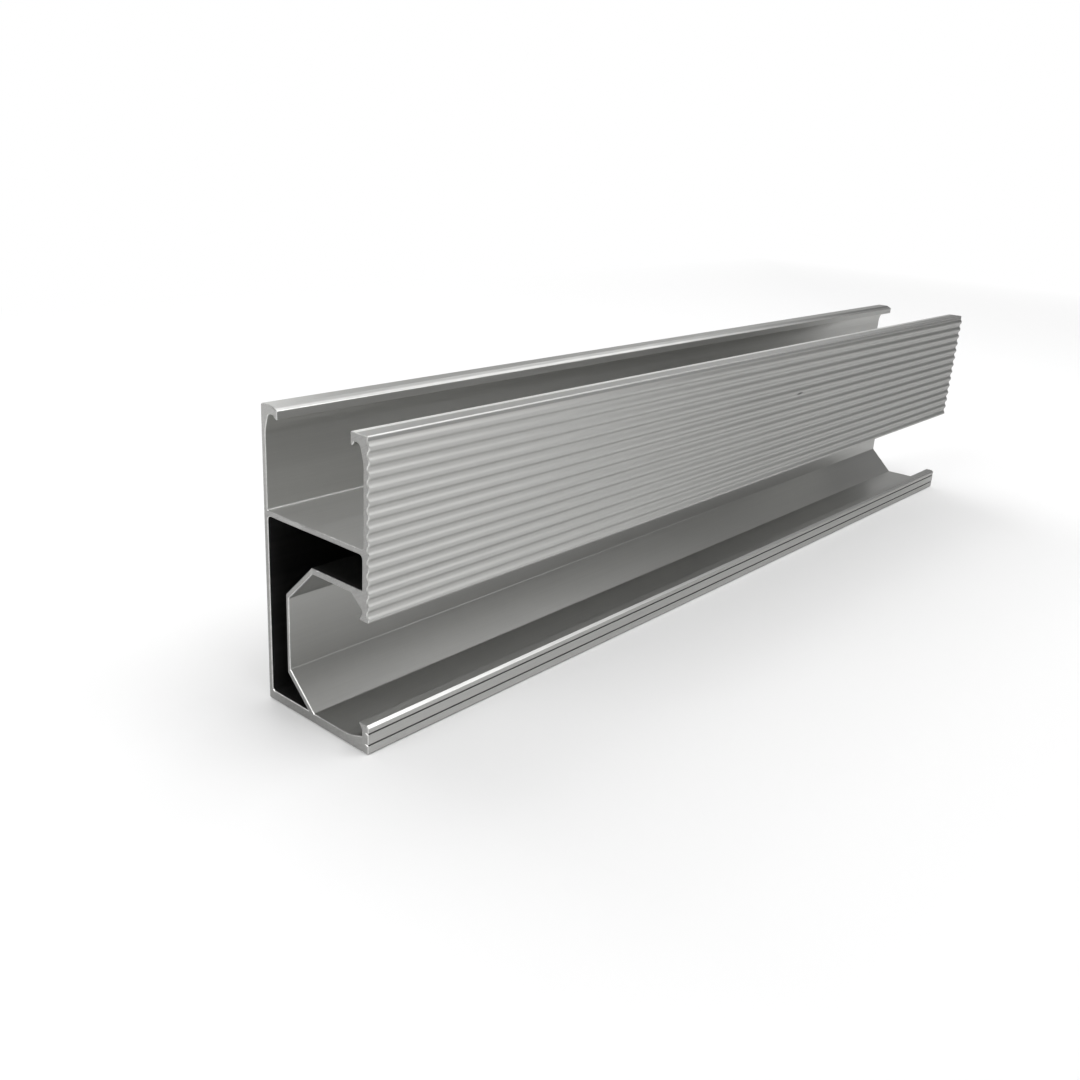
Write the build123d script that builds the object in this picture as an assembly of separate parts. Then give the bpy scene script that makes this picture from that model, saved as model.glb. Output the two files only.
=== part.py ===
"""Solar mounting rail: a short length of a two-channel aluminium extrusion.

The rail is one piece of stock. Its section has an open-topped clamp channel between a plain back
wall and a fluted front wall, a second clamp channel with a faceted inside that opens to the front
below the flutes, and a closed hollow that wraps round the second channel and stiffens the rail.

The same clamp block clicks into both channels, so the section is stacked up from its mouth: width
and height follow from the mouth, the lips, the walls and the clear spaces between them.

Frame: X runs along the rail, the fluted face looks towards -Y, +Z is up. The origin is at the
middle of the underside. All sizes are in millimetres.
"""
import math
import os

from build123d import *

# Length of this piece, and the mouth that the clamp block clicks into
length = 260.0
mouth_clear = 20.4

# Wall thicknesses
back_wall = 1.1
front_wall_upper = 1.5
front_wall_lower = 1.8
shelf_thickness = 1.1
roof_web = 1.2
upper_facet_web = 1.05
back_web = 0.8
lower_facet_web = 1.2
base_thickness = 2.0

# Clear spaces
top_channel_depth = 20.3
hollow_clear_height = 6.6
hollow_clear_width = 5.1

# Lips of the top mouth, from the tip of the lip to the foot of its haunch
lip_thickness = 1.7
lip_drop = 2.4
lip_nose = 0.4
front_nose_slope = 0.5
rear_nose_slope = 0.8
front_lip_flat = 1.4
lip_haunch_width = 1.0
lip_haunch_height = 3.2
rear_lip_bevel_width = 1.5
rear_lip_bevel_height = 0.7

# Lips of the side mouth
side_lip_overhang = 1.0
side_lip_nose_height = 1.3
side_lip_bevel = 0.5
base_lip_neck = 1.4
brow_neck = 0.7

# Faceted inside of the side channel
upper_facet_run = 7.3
upper_facet_rise = 7.1
lower_facet_run = 7.2
lower_facet_rise = 6.8
gusset_width = 3.1
gusset_height = 2.5
toe_ramp_width = 3.6
toe_ramp_height = 1.2

# Flutes of the front wall
flute_count = 14
flute_depth = 0.45
plain_band = 0.9
last_crest_rise = 0.4

# Score lines on the front edge of the base
upper_score_drop = 1.6
lower_score_rise = 1.95
score_width = 0.3
score_depth = 0.45

# Broken edge of the cut ends, and edge rounds
end_break = 0.15
outer_round = 0.4
crown_round = 0.25
hollow_round = 0.8
shelf_round = 0.4
facet_round = 0.4
gusset_round = 1.0
toe_round = 10.0
haunch_round = 1.0
haunch_foot_round = 6.0
tip_round = 0.2

# Heights, stacked up from the underside
base_lip_z = base_thickness + toe_ramp_height + base_lip_neck + side_lip_nose_height
brow_z = base_lip_z + mouth_clear
roof_under_z = brow_z + side_lip_nose_height + brow_neck + gusset_height
roof_top_z = roof_under_z + roof_web
shelf_under_z = roof_top_z + hollow_clear_height
shelf_top_z = shelf_under_z + shelf_thickness
height = shelf_top_z + top_channel_depth
under_lip_z = height - lip_thickness
nose_z = height - lip_drop
haunch_foot_z = under_lip_z - lip_haunch_height

# Places across the rail, from the crests of the flutes to the back wall
lip_reach = front_wall_upper + lip_haunch_width + front_lip_flat + front_nose_slope + lip_nose
width = mouth_clear + 2 * lip_reach
front_y = -width / 2
back_y = width / 2
trough_y = front_y + flute_depth
front_upper_y = front_y + front_wall_upper
front_lower_y = front_y + front_wall_lower
front_lip_y = front_y + lip_reach
rear_lip_y = back_y - lip_reach
side_lip_y = front_lower_y + side_lip_overhang
back_inner_y = back_y - back_wall
back_web_y = back_inner_y - hollow_clear_width
side_back_y = back_web_y - back_web


def fluted_edges():
    """Outer face of the front wall from its top edge down to its rounded lower edge."""
    first_trough_z = height - plain_band
    last_crest_z = brow_z + last_crest_rise
    pitch = (first_trough_z - last_crest_z) / (flute_count - 0.5)
    middle_y = (front_y + trough_y) / 2
    start_z = first_trough_z - pitch / 4
    first_trough = (trough_y, first_trough_z)
    last_crest = (front_y, last_crest_z)
    edges = [
        Line((trough_y, height), first_trough),
        TangentArc(first_trough, (middle_y, start_z), tangent=(0, -1)),
    ]
    for index in range(2 * flute_count - 2):
        top_z = start_z - index * pitch / 2
        peak_y = trough_y if index % 2 else front_y
        edges.append(
            ThreePointArc(
                (middle_y, top_z),
                (peak_y, top_z - pitch / 4),
                (middle_y, top_z - pitch / 2),
            )
        )
    foot = (front_y + last_crest_rise, brow_z)
    edges.append(TangentArc(last_crest, (middle_y, last_crest_z + pitch / 4), tangent=(0, 1)))
    edges.append(TangentArc(last_crest, foot, tangent=(0, -1)))
    return edges


def outline():
    """Outer shape of the section, with the side mouth already open at the front."""
    closing = Polyline(
        (front_y + last_crest_rise, brow_z),
        (side_lip_y, brow_z),
        (side_lip_y, base_lip_z),
        (front_y, base_lip_z),
        (front_y, 0),
        (back_y, 0),
        (back_y, height),
        (trough_y, height),
    )
    return make_face(fluted_edges() + [closing])


def top_channel():
    """Clear space above the shelf: the mouth, the undercut behind each lip and the room below."""

    def side(wall_y, lip_y, nose_slope, inward):
        """One side of the space, from the edge of the mouth down to the shelf."""
        return [
            (lip_y, height),
            (lip_y, nose_z),
            (lip_y - inward * lip_nose, nose_z),
            (lip_y - inward * (lip_nose + nose_slope), under_lip_z),
            (wall_y + inward * lip_haunch_width, under_lip_z),
            (wall_y, haunch_foot_z),
            (wall_y, shelf_top_z),
        ]

    front_side = side(front_upper_y, front_lip_y, front_nose_slope, 1)
    rear_side = side(back_inner_y, rear_lip_y, rear_nose_slope, -1)
    return Polygon(*front_side, *reversed(rear_side), align=None)


def side_channel():
    """Clear faceted space behind the side mouth."""
    return Polygon(
        (side_lip_y, base_lip_z),
        (front_lower_y, base_lip_z - side_lip_nose_height),
        (front_lower_y, base_thickness + toe_ramp_height),
        (front_lower_y + toe_ramp_width, base_thickness),
        (side_back_y - lower_facet_run, base_thickness),
        (side_back_y, base_thickness + lower_facet_rise),
        (side_back_y, roof_under_z - upper_facet_rise),
        (side_back_y - upper_facet_run, roof_under_z),
        (front_lower_y + gusset_width, roof_under_z),
        (front_lower_y, roof_under_z - gusset_height),
        (front_lower_y, brow_z + side_lip_nose_height),
        (side_lip_y, brow_z),
        align=None,
    )


def hollow():
    """Closed chamber between the shelf, the back wall and the web round the side channel."""
    upper_slope = upper_facet_rise / upper_facet_run
    lower_slope = lower_facet_rise / lower_facet_run
    upper_across = upper_facet_web * math.hypot(1, 1 / upper_slope)
    lower_across = lower_facet_web * math.hypot(1, 1 / lower_slope)
    return Polygon(
        (front_lower_y, roof_top_z),
        (side_back_y - upper_facet_run + upper_across - roof_web / upper_slope, roof_top_z),
        (back_web_y, roof_under_z - upper_facet_rise + (upper_across - back_web) * upper_slope),
        (back_web_y, base_thickness + lower_facet_rise - (lower_across - back_web) * lower_slope),
        (side_back_y - lower_facet_run + lower_across, base_thickness),
        (back_inner_y, base_thickness),
        (back_inner_y, shelf_under_z),
        (front_lower_y, shelf_under_z),
        align=None,
    )


def rear_lip_bevel():
    """Sloping lead-in along the inner edge of the rear lip."""
    return Polygon(
        (rear_lip_y, height),
        (rear_lip_y, height - rear_lip_bevel_height),
        (rear_lip_y + rear_lip_bevel_width, height),
        align=None,
    )


def base_lip_bevel():
    """Bevel along the outer edge of the base lip."""
    return Polygon(
        (front_y, base_lip_z),
        (front_y + side_lip_bevel, base_lip_z),
        (front_y, base_lip_z - side_lip_bevel),
        align=None,
    )


def score_line(at_z):
    """Small V cut in the front edge of the base."""
    return Polygon(
        (front_y, at_z + score_width / 2),
        (front_y + score_depth, at_z),
        (front_y, at_z - score_width / 2),
        align=None,
    )


def rounded(section, radius, places):
    """Section with the corners nearest to the given places rounded."""

    def corner(y, z):
        return min(section.vertices(), key=lambda vertex: math.hypot(vertex.X - y, vertex.Y - z))

    return fillet([corner(y, z) for y, z in places], radius)


def rail_section():
    """Whole section of the rail, drawn in the plane across it."""
    section = outline() - top_channel() - side_channel() - hollow()
    section -= rear_lip_bevel()
    section -= base_lip_bevel()
    section -= score_line(base_lip_z - upper_score_drop)
    section -= score_line(lower_score_rise)

    section = rounded(
        section,
        outer_round,
        [(back_y, 0), (back_y, height), (front_y, 0)],
    )
    section = rounded(section, crown_round, [(trough_y, height)])
    section = rounded(
        section,
        hollow_round,
        [
            (front_lower_y, shelf_under_z),
            (back_inner_y, shelf_under_z),
            (back_inner_y, base_thickness),
        ],
    )
    section = rounded(
        section,
        shelf_round,
        [(front_upper_y, shelf_top_z), (back_inner_y, shelf_top_z)],
    )
    section = rounded(
        section,
        facet_round,
        [
            (side_back_y - lower_facet_run, base_thickness),
            (side_back_y, base_thickness + lower_facet_rise),
            (side_back_y, roof_under_z - upper_facet_rise),
            (side_back_y - upper_facet_run, roof_under_z),
        ],
    )
    section = rounded(
        section,
        gusset_round,
        [
            (front_lower_y + gusset_width, roof_under_z),
            (front_lower_y, roof_under_z - gusset_height),
        ],
    )
    section = rounded(section, toe_round, [(front_lower_y + toe_ramp_width, base_thickness)])
    section = rounded(
        section,
        haunch_round,
        [
            (front_upper_y + lip_haunch_width, under_lip_z),
            (back_inner_y - lip_haunch_width, under_lip_z),
        ],
    )
    section = rounded(
        section,
        haunch_foot_round,
        [(front_upper_y, haunch_foot_z), (back_inner_y, haunch_foot_z)],
    )
    return rounded(
        section,
        tip_round,
        [
            (front_lip_y, height),
            (front_lip_y, nose_z),
            (front_lip_y - lip_nose, nose_z),
            (rear_lip_y, height - rear_lip_bevel_height),
            (rear_lip_y + rear_lip_bevel_width, height),
            (rear_lip_y, nose_z),
            (rear_lip_y + lip_nose, nose_z),
            (side_lip_y, brow_z),
            (side_lip_y, base_lip_z),
        ],
    )


def rail():
    """The extruded rail, cut square at both ends and deburred."""
    bar = extrude(Plane.YZ * rail_section(), amount=length / 2, both=True)
    ends = bar.faces().sort_by(Axis.X)
    return chamfer(ends[0].edges() + ends[-1].edges(), end_break)


os.makedirs("parts", exist_ok=True)
export_step(rail(), "parts/rail.step")
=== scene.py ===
"""Solar mounting rail in satin aluminium, on a white sweep under soft studio light.

Lengths are in metres. X runs along the rail, its fluted face looks towards -Y, and +Z is up.
"""

import bpy
from mathutils import Matrix, Vector

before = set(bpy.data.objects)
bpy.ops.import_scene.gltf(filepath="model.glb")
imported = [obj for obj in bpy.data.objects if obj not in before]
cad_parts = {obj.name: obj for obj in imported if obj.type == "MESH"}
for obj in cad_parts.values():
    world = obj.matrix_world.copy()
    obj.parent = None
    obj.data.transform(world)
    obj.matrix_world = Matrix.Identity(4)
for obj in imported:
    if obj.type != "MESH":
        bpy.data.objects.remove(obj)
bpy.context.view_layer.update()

scene = bpy.context.scene
scene.view_settings.view_transform = "Standard"

# Camera: place and turn fitted to the corners and edges of the two cut ends
CAMERA_PLACE = (-0.24129172, -0.14521037, 0.10581636)
CAMERA_RIGHT = (0.66785925, -0.7425054, 0.05147575)
CAMERA_UP = (0.2225072, 0.26517882, 0.93817415)
CAMERA_FORWARD = (0.71024965, 0.61511456, -0.34231493)
CAMERA_NEAR = 0.01
SENSOR_MM = 36
LENS_MM = 35.63466
SHIFT_X = 0.018328
SHIFT_Y = -0.003080

# Metal: one aluminium, whose highlight is drawn out across the rail
METAL = 1.0
GRAZING = 0.6
DRAWN = 0.7
BUMP_DEPTH = 0.00005

# Base colours and roughness of the five looks
EXTRUDED_BASE = (0.5, 0.5, 0.487)
EXTRUDED_ROUGH = 0.42
SAWN_BASE = (0.375, 0.373, 0.365)
SAWN_ROUGH = 0.5
# Lighter base colour of the deburred edges: painted highlight of the cut outlines
EDGE_SHEEN_BASE = (0.68, 0.68, 0.665)
EDGE_ROUGH = 0.35
# Rubbed edges: real wear, and a lighter base colour that is a painted highlight
WORN_AND_SHEEN_BASE = (0.75, 0.75, 0.735)
WORN_ROUGH = 0.33
# Dark base colour of the hollow: painted shade
HOLLOW_SHADE_BASE = (0.2, 0.2, 0.195)
HOLLOW_ROUGH = 0.55

# Noise that runs along the rail: scale along it, scale across it, detail, roughness
DIE_LINES = (4.0, 2600.0, 4.0, 0.6)
DRAW_GRAIN = (60.0, 6000.0, 2.0, 0.5)
STREAKS = (12.0, 220.0, 4.0, 0.5)
SCUFFS = (120.0, 1500.0, 3.0, 0.6)
DRAG_LINES = (6.0, 1400.0, 4.0, 0.6)

# Noise of the cut ends. The saw marks lie at a slant, and the other two run no way
SAW_SLANT = 0.5
SAW_STRETCH = (1.0, 60.0, 5200.0)
SAW_SCALE = 1.0
SAW_SPECK_SCALE = 1500.0
EDGE_WEAR_SCALE = 700.0

# Part of a noise's range that carries the change from dark to light
WIDE = (0.3, 0.7)
NARROW = (0.35, 0.65)

# Dark speck on the flutes, stretched along the rail
SPECK = (0.00603, -0.0149, 0.0477)
SPECK_STRETCH = (0.3, 1.0, 1.0)
SPECK_SIZE = (0.0002, 0.0006)
SPECK_TONE = 0.2

# Painted highlight: lighter strip along the inner edge of the front lip, with soft limits in Y
# and Z
SHEEN_STRIP_FROM = (-0.0117, -0.0113)
SHEEN_STRIP_TO = (-0.01, -0.0098)
SHEEN_STRIP_ABOVE = (0.0597, 0.0598)
SHEEN_STRIP_TONE = 1.82

# Painted shade: dark line under the crown of the fluted wall, with soft limits in Y and Z
SHADE_LINE_FOOT = (0.059, 0.0592)
SHADE_LINE_TOP = (0.0596, 0.0598)
SHADE_LINE_TONE = 0.62

# Painted shade in the score lines: their heights, and the soft half height of the shade
SCORES = (0.00195, 0.0043)
SCORE_SHADE_HALF = (0.00016, 0.00022)
SCORE_SHADE_TONE = 0.4

# Soft limit in Y of the marks that lie on the fluted side only
FRONT_SKIN = (-0.0144, -0.0143)

# Upper half of the rear bevel, brought back to the plain tone so that the painted highlight stays
# on its lower half
UNSHEENED_Y = (0.005, 0.006)
UNSHEENED_Z = (0.05955, 0.0597)
UNSHEENED_TONE = 0.667

# Which face carries which look, told by its normal and its place
FLAT_CUT = 0.9
EDGE_CUT = 0.3
EDGE_SLOPE = 0.15
LOOK_OUT = 0.0002

# Rubbed edges with a painted highlight: crown, rear bevel and base lip, each from y to y and from
# z to z
WORN_AND_SHEEN_EDGES = [
    (-0.0146, -0.0142, 0.0597, 0.0601),
    (0.0101, 0.0119, 0.0592, 0.0601),
    (-0.0151, -0.0144, 0.0053, 0.006),
]

# Corners (y, z) of the closed hollow
HOLLOW_CORNERS = [
    (-0.0132, 0.032),
    (0.001, 0.032),
    (0.0088, 0.0244),
    (0.0088, 0.0079),
    (0.0025, 0.002),
    (0.0139, 0.002),
    (0.0139, 0.0386),
    (-0.0132, 0.0386),
]

# Studio: white backdrop, and a dark tent with a gap at the foot of its rear half
WHITE = (1, 1, 1, 1)
BACKDROP = 1.0
ROOM = 0.25
TENT_SIDE = 1.5
TENT_TOP = 1.4
TENT_EDGE = 0.5
TENT_OPENING = 0.6

# Floor: painted and lit near the rail, and glowing white farther away
FLOOR_REACH = 6.0
FLOOR_DROP = 0.0001
FLOOR_TONE = 0.86
FLOOR_GLOW = 1.0
GLOW_BEHIND = (0.05, 0.5)
GLOW_RIGHT = (0.35, 0.9)
GLOW_AWAY = (0.9, 1.4)

# Lamps: name, place, width and height, watts. All of them face the origin
LAMPS = [
    ("front_box", (0.1, -0.8, 0.75), (1.0, 1.0), 0.8),
    ("front_right", (0.7, -0.8, 0.6), (0.6, 0.6), 1.5),
    ("left_low", (-1.0, 0.1, 0.5), (0.6, 0.6), 4.6),
    ("right_high", (0.75, 0.15, 0.75), (0.5, 0.5), 1.1),
    ("overhead_front", (0.1, -0.35, 0.9), (1.0, 0.5), 5.0),
    ("overhead_back", (0.1, 0.6, 0.9), (1.0, 0.5), 2.4),
    ("back", (0.2, 1.0, 0.6), (0.8, 0.6), 3.1),
]


def make_camera():
    """Camera that stands where the photographer's did."""
    data = bpy.data.cameras.new("camera")
    data.sensor_width = SENSOR_MM
    data.lens = LENS_MM
    data.shift_x = SHIFT_X
    data.shift_y = SHIFT_Y
    data.clip_start = CAMERA_NEAR
    camera = bpy.data.objects.new("camera", data)
    scene.collection.objects.link(camera)
    backward = [-c for c in CAMERA_FORWARD]
    turn = Matrix((CAMERA_RIGHT, CAMERA_UP, backward)).transposed()
    camera.matrix_world = Matrix.Translation(CAMERA_PLACE) @ turn.to_4x4()
    scene.camera = camera


class Nodes:
    """Short calls for building a node tree."""

    def __init__(self, tree):
        self.tree = tree
        tree.nodes.clear()

    def add(self, kind, inputs=None, **settings):
        node = self.tree.nodes.new(kind)
        for key, value in settings.items():
            setattr(node, key, value)
        for key, value in (inputs or {}).items():
            if isinstance(value, bpy.types.NodeSocket):
                self.tree.links.new(value, node.inputs[key])
            else:
                node.inputs[key].default_value = value
        return node

    def math(self, operation, a, b=0.0):
        return self.add("ShaderNodeMath", {0: a, 1: b}, operation=operation).outputs[0]

    def vector_math(self, operation, a, b, output="Vector"):
        return self.add("ShaderNodeVectorMath", {0: a, 1: b}, operation=operation).outputs[output]

    def product(self, first, *others):
        for other in others:
            first = self.math("MULTIPLY", first, other)
        return first

    def axes(self, vector):
        outputs = self.add("ShaderNodeSeparateXYZ", {0: vector}).outputs
        return outputs["X"], outputs["Y"], outputs["Z"]

    def ramp(self, value, low, high, to_low=0.0, to_high=1.0):
        inputs = {
            "Value": value,
            "From Min": low,
            "From Max": high,
            "To Min": to_low,
            "To Max": to_high,
        }
        return self.add("ShaderNodeMapRange", inputs, clamp=True).outputs["Result"]

    def above(self, value, limit):
        """1 above a soft limit and 0 below it."""
        return self.ramp(value, *limit)

    def below(self, value, limit):
        """1 below a soft limit and 0 above it."""
        return self.ramp(value, *limit, 1.0, 0.0)

    def vary(self, noise, middle, half, span=WIDE):
        """Value that follows a noise, from middle - half to middle + half."""
        return self.ramp(noise, *span, middle - half, middle + half)

    def noise(self, vector, scale, detail=3.0, roughness=0.6):
        inputs = {"Vector": vector, "Scale": scale, "Detail": detail, "Roughness": roughness}
        return self.add("ShaderNodeTexNoise", inputs).outputs["Fac"]

    def lines(self, vector, along, across, detail, roughness):
        """Noise drawn out into lines that run along the rail."""
        stretched = self.vector_math("MULTIPLY", vector, (along, across, across))
        return self.noise(stretched, 1.0, detail, roughness)

    def turned(self, vector, angle):
        inputs = {"Vector": vector, "Angle": angle}
        return self.add("ShaderNodeVectorRotate", inputs, rotation_type="X_AXIS").outputs[0]

    def scale(self, color, tone):
        inputs = {0: color, "Scale": tone}
        return self.add("ShaderNodeVectorMath", inputs, operation="SCALE").outputs[0]

    def marked(self, tone, share, mark_tone):
        """Tone of a surface, times the tone of a mark where the mark's share is 1."""
        return self.product(tone, self.ramp(share, 0.0, 1.0, 1.0, mark_tone))

    def bump(self, height, strength):
        inputs = {"Height": height, "Strength": strength, "Distance": BUMP_DEPTH}
        return self.add("ShaderNodeBump", inputs).outputs[0]

    def emission(self, strength):
        return self.add("ShaderNodeEmission", {"Color": WHITE, "Strength": strength}).outputs[0]

    def finish(self, surface, kind="Material"):
        self.add(f"ShaderNodeOutput{kind}", {"Surface": surface})


def add_marks(n, place, tone):
    """Tone of the extruded faces with the speck, a painted highlight along the front lip, and
    painted shade under the crown and in the score lines.
    """
    _, y, z = n.axes(place)
    speck_place = n.vector_math("MULTIPLY", place, SPECK_STRETCH)
    off_speck = n.vector_math("DISTANCE", speck_place, SPECK, "Value")
    tone = n.product(tone, n.ramp(off_speck, *SPECK_SIZE, SPECK_TONE, 1.0))

    # Painted highlight along the inner edge of the front lip
    sheen_strip = n.product(n.above(y, SHEEN_STRIP_FROM), n.below(y, SHEEN_STRIP_TO), n.above(z, SHEEN_STRIP_ABOVE))
    tone = n.marked(tone, sheen_strip, SHEEN_STRIP_TONE)

    front_skin = n.below(y, FRONT_SKIN)
    # Painted shade in a dark line under the crown
    shade_line = n.product(n.above(z, SHADE_LINE_FOOT), n.below(z, SHADE_LINE_TOP), front_skin)
    tone = n.marked(tone, shade_line, SHADE_LINE_TONE)

    # Painted shade in the score lines
    off_scores = [n.math("ABSOLUTE", n.math("SUBTRACT", z, height)) for height in SCORES]
    score_shade = n.product(n.below(n.math("MINIMUM", *off_scores), SCORE_SHADE_HALF), front_skin)
    return n.marked(tone, score_shade, SCORE_SHADE_TONE)


def extruded_aluminium(n, place):
    """Outside of the extrusion: fine die lines and fainter, wider streaks along the rail."""
    die = n.lines(place, *DIE_LINES)
    grain = n.lines(place, *DRAW_GRAIN)
    streak = n.lines(place, *STREAKS)
    tone = n.math("ADD", n.vary(die, 0.0, 0.02), n.vary(streak, 1.0, 0.02, NARROW))
    color = n.scale(EXTRUDED_BASE, add_marks(n, place, tone))
    streak_rough = n.vary(streak, 0.0, 0.015, NARROW)
    rough = n.math("ADD", n.vary(grain, EXTRUDED_ROUGH, 0.04), streak_rough)
    height = n.math("ADD", die, n.product(grain, 0.5))
    return color, rough, n.bump(height, 0.04)


def sawn_aluminium(n, place):
    """Cut end: fine straight saw marks, with small darker and lighter patches."""
    slanted = n.vector_math("MULTIPLY", n.turned(place, SAW_SLANT), SAW_STRETCH)
    marks = n.noise(slanted, SAW_SCALE)
    patches = n.noise(place, SAW_SPECK_SCALE)
    tone = n.math("ADD", n.vary(marks, 0.0, 0.07), n.vary(patches, 1.0, 0.07, NARROW))
    rough = n.vary(patches, SAWN_ROUGH, 0.05)
    return n.scale(SAWN_BASE, tone), rough, n.bump(marks, 0.15)


def edge_sheen_aluminium(n, place):
    """Deburred edge of a cut end: bright as a painted highlight, smooth, worn unevenly."""
    wear = n.noise(place, EDGE_WEAR_SCALE, 4.0)
    color = n.scale(EDGE_SHEEN_BASE, n.vary(wear, 0.95, 0.15, NARROW))
    return color, n.vary(wear, EDGE_ROUGH, 0.05), n.bump(wear, 0.1)


def worn_and_sheen_aluminium(n, place):
    """Outer edges that hands and packing have rubbed: smoother, with scuffs, and brighter in
    colour as a painted highlight.
    """
    scuff = n.lines(place, *SCUFFS)
    _, y, z = n.axes(place)
    # Upper half of the rear bevel loses the painted highlight
    unsheened = n.product(n.above(y, UNSHEENED_Y), n.above(z, UNSHEENED_Z))
    tone = n.marked(n.vary(scuff, 0.99, 0.07), unsheened, UNSHEENED_TONE)
    return n.scale(WORN_AND_SHEEN_BASE, tone), n.vary(scuff, WORN_ROUGH, -0.04), n.bump(scuff, 0.03)


def hollow_painted_shade(n, place):
    """Inside of the closed hollow: dull, as the die leaves it, with coarse drag lines, and a dark
    base colour that is painted shade.
    """
    drag = n.lines(place, *DRAG_LINES)
    color = n.scale(HOLLOW_SHADE_BASE, n.vary(drag, 1.0, 0.1))
    return color, n.vary(drag, HOLLOW_ROUGH, 0.05), n.bump(drag, 0.15)


LOOKS = [
    extruded_aluminium,
    sawn_aluminium,
    edge_sheen_aluminium,
    hollow_painted_shade,
    worn_and_sheen_aluminium,
]


def new_material(name):
    """Material with an empty node tree, and the calls that fill it."""
    material = bpy.data.materials.new(name)
    material.use_nodes = True
    return material, Nodes(material.node_tree)


def make_metal(look):
    """Aluminium with the colour, roughness and relief of a look."""
    material, n = new_material(look.__name__)
    color, rough, bump = look(n, n.add("ShaderNodeTexCoord").outputs["Object"])
    along_rail = n.add("ShaderNodeTangent", direction_type="RADIAL", axis="X")
    inputs = {
        "Base Color": color,
        "Roughness": rough,
        "Metallic": METAL,
        "Specular Tint": (GRAZING, GRAZING, GRAZING, 1.0),
        "Normal": bump,
        "Anisotropic": DRAWN,
        "Tangent": along_rail.outputs[0],
    }
    n.finish(n.add("ShaderNodeBsdfPrincipled", inputs).outputs[0])
    return material


def faces_hollow(face):
    """True for a face that looks into the closed hollow."""
    look = face.center + face.normal * LOOK_OUT
    inside = False
    next_corners = HOLLOW_CORNERS[1:] + HOLLOW_CORNERS[:1]
    for (y1, z1), (y2, z2) in zip(HOLLOW_CORNERS, next_corners):
        crosses = (z1 > look.z) != (z2 > look.z)
        if crosses and look.y < y1 + (look.z - z1) * (y2 - y1) / (z2 - z1):
            inside = not inside
    return inside


def on_worn_and_sheen_edge(face):
    """True for a face of a rubbed outer edge with a painted highlight that slopes up and to the
    front.
    """
    y, z = face.center.y, face.center.z
    if face.normal.z < EDGE_SLOPE or face.normal.y > -EDGE_SLOPE:
        return False
    return any(y1 < y < y2 and z1 < z < z2 for y1, y2, z1, z2 in WORN_AND_SHEEN_EDGES)


def look_of(face):
    """Look that a face of the rail carries."""
    along = abs(face.normal.x)
    if along > FLAT_CUT:
        return sawn_aluminium
    if along > EDGE_CUT:
        return edge_sheen_aluminium
    if faces_hollow(face):
        return hollow_painted_shade
    return worn_and_sheen_aluminium if on_worn_and_sheen_edge(face) else extruded_aluminium


def dress(rail):
    """Give each face of the rail its look."""
    rail.data.materials.clear()
    for look in LOOKS:
        rail.data.materials.append(make_metal(look))
    for face in rail.data.polygons:
        face.material_index = LOOKS.index(look_of(face))


def make_world():
    """Plain white backdrop."""
    world = bpy.data.worlds.new("studio")
    scene.world = world
    world.use_nodes = True
    n = Nodes(world.node_tree)
    background = n.add("ShaderNodeBackground", {"Color": WHITE, "Strength": BACKDROP})
    n.finish(background.outputs[0], "World")


def make_sheet(name, corners, faces, material):
    """Mesh object of the studio, which isn't part of the rail."""
    mesh = bpy.data.meshes.new(name)
    mesh.from_pydata(corners, [], faces)
    mesh.materials.append(material)
    sheet = bpy.data.objects.new(name, mesh)
    scene.collection.objects.link(sheet)
    return sheet


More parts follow.
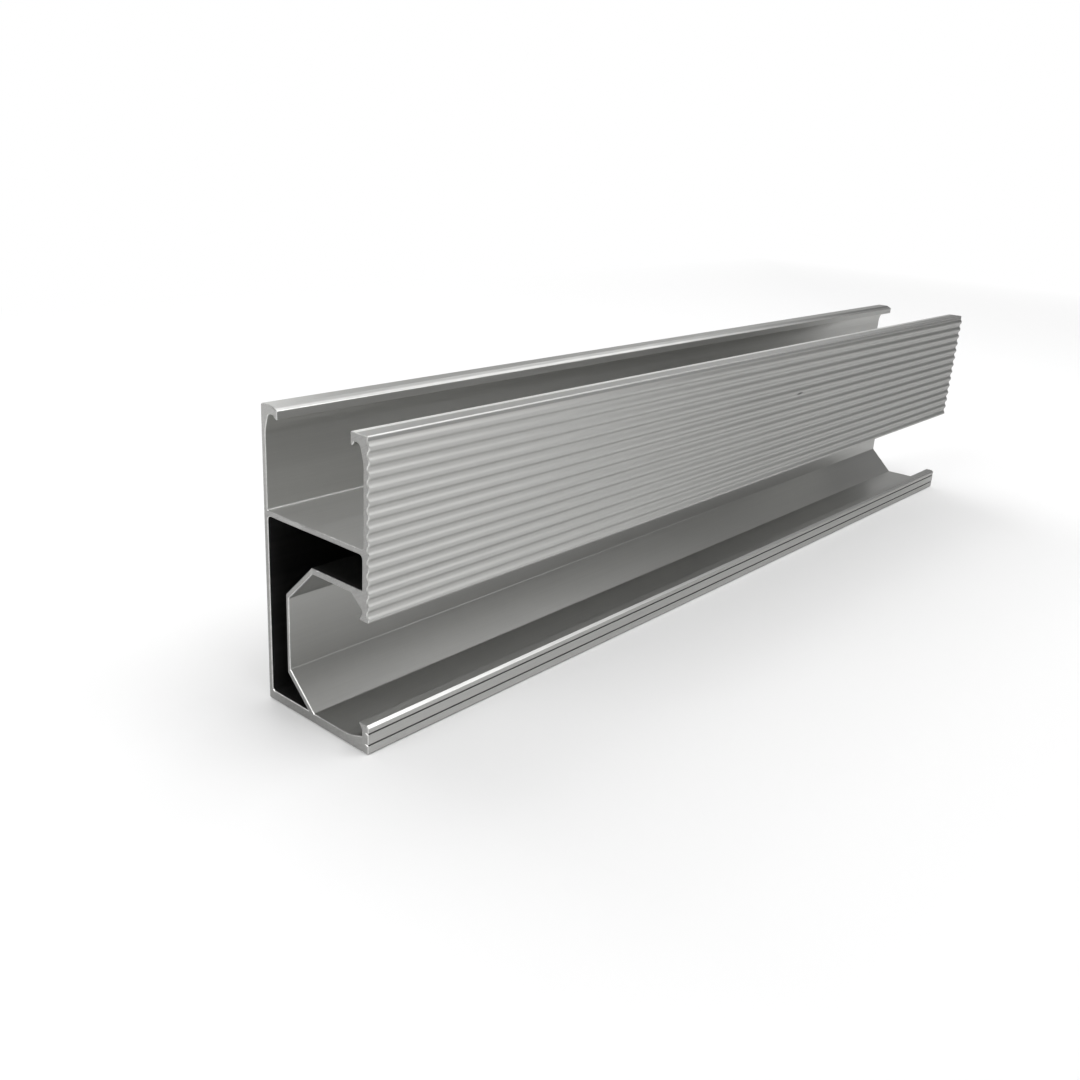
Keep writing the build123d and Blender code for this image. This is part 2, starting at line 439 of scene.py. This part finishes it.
def make_tent():
    """Dark cloth on the camera's side and overhead, open towards the white backdrop."""
    side, top, edge, low = TENT_SIDE, TENT_TOP, TENT_EDGE, TENT_OPENING
    corners = [
        (-side, -side, 0),
        (side, -side, 0),
        (side, -side, top),
        (-side, -side, top),
        (side, edge, 0),
        (side, edge, top),
        (-side, edge, 0),
        (-side, edge, top),
        (side, side, top),
        (-side, side, top),
        (side, edge, low),
        (side, side, low),
        (-side, side, low),
        (-side, edge, low),
    ]
    faces = [
        (0, 1, 2, 3),
        (1, 4, 5, 2),
        (6, 0, 3, 7),
        (3, 2, 8, 9),
        (10, 11, 8, 5),
        (12, 13, 7, 9),
        (11, 12, 9, 8),
    ]
    cloth, n = new_material("dark_cloth")
    n.finish(n.emission(ROOM))
    tent = make_sheet("tent", corners, faces, cloth)
    tent.visible_camera = False


def white_for_sight(n):
    """1 for a ray that shows the background: seen directly, mirrored or through glass."""
    path = n.add("ShaderNodeLightPath").outputs
    seen = n.math("MAXIMUM", path["Is Camera Ray"], path["Is Glossy Ray"])
    return n.math("MAXIMUM", seen, path["Is Transmission Ray"])


def make_floor():
    """Pale floor that takes the rail's shadow and turns white farther away."""
    paint, n = new_material("white_floor")
    diffuse = n.add("ShaderNodeBsdfDiffuse", {"Color": (FLOOR_TONE, FLOOR_TONE, FLOOR_TONE, 1)})
    place = n.add("ShaderNodeTexCoord").outputs["Object"]
    x, y, _ = n.axes(place)
    distance = n.vector_math("DISTANCE", place, (0, 0, 0), "Value")
    away = n.math("MAXIMUM", n.above(y, GLOW_BEHIND), n.above(x, GLOW_RIGHT))
    away = n.math("MAXIMUM", away, n.above(distance, GLOW_AWAY))
    share = n.product(white_for_sight(n), away)
    glow = n.emission(FLOOR_GLOW)
    mixed = n.add("ShaderNodeMixShader", {0: share, 1: diffuse.outputs[0], 2: glow})
    n.finish(mixed.outputs[0])

    reach = FLOOR_REACH
    corners = [(-reach, -reach, 0), (reach, -reach, 0), (reach, reach, 0), (-reach, reach, 0)]
    floor = make_sheet("floor", corners, [(0, 1, 2, 3)], paint)
    floor.location.z = -FLOOR_DROP


def make_lamp(name, place, size, power):
    """Soft box that faces the origin and that the camera doesn't see."""
    data = bpy.data.lights.new(name, "AREA")
    data.shape = "RECTANGLE"
    data.size, data.size_y = size
    data.energy = power
    lamp = bpy.data.objects.new(name, data)
    lamp.location = place
    lamp.rotation_euler = (-Vector(place)).to_track_quat("-Z", "Y").to_euler()
    lamp.visible_camera = False
    scene.collection.objects.link(lamp)


make_camera()
make_world()
make_floor()
make_tent()
for lamp in LAMPS:
    make_lamp(*lamp)

dress(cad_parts["rail"])
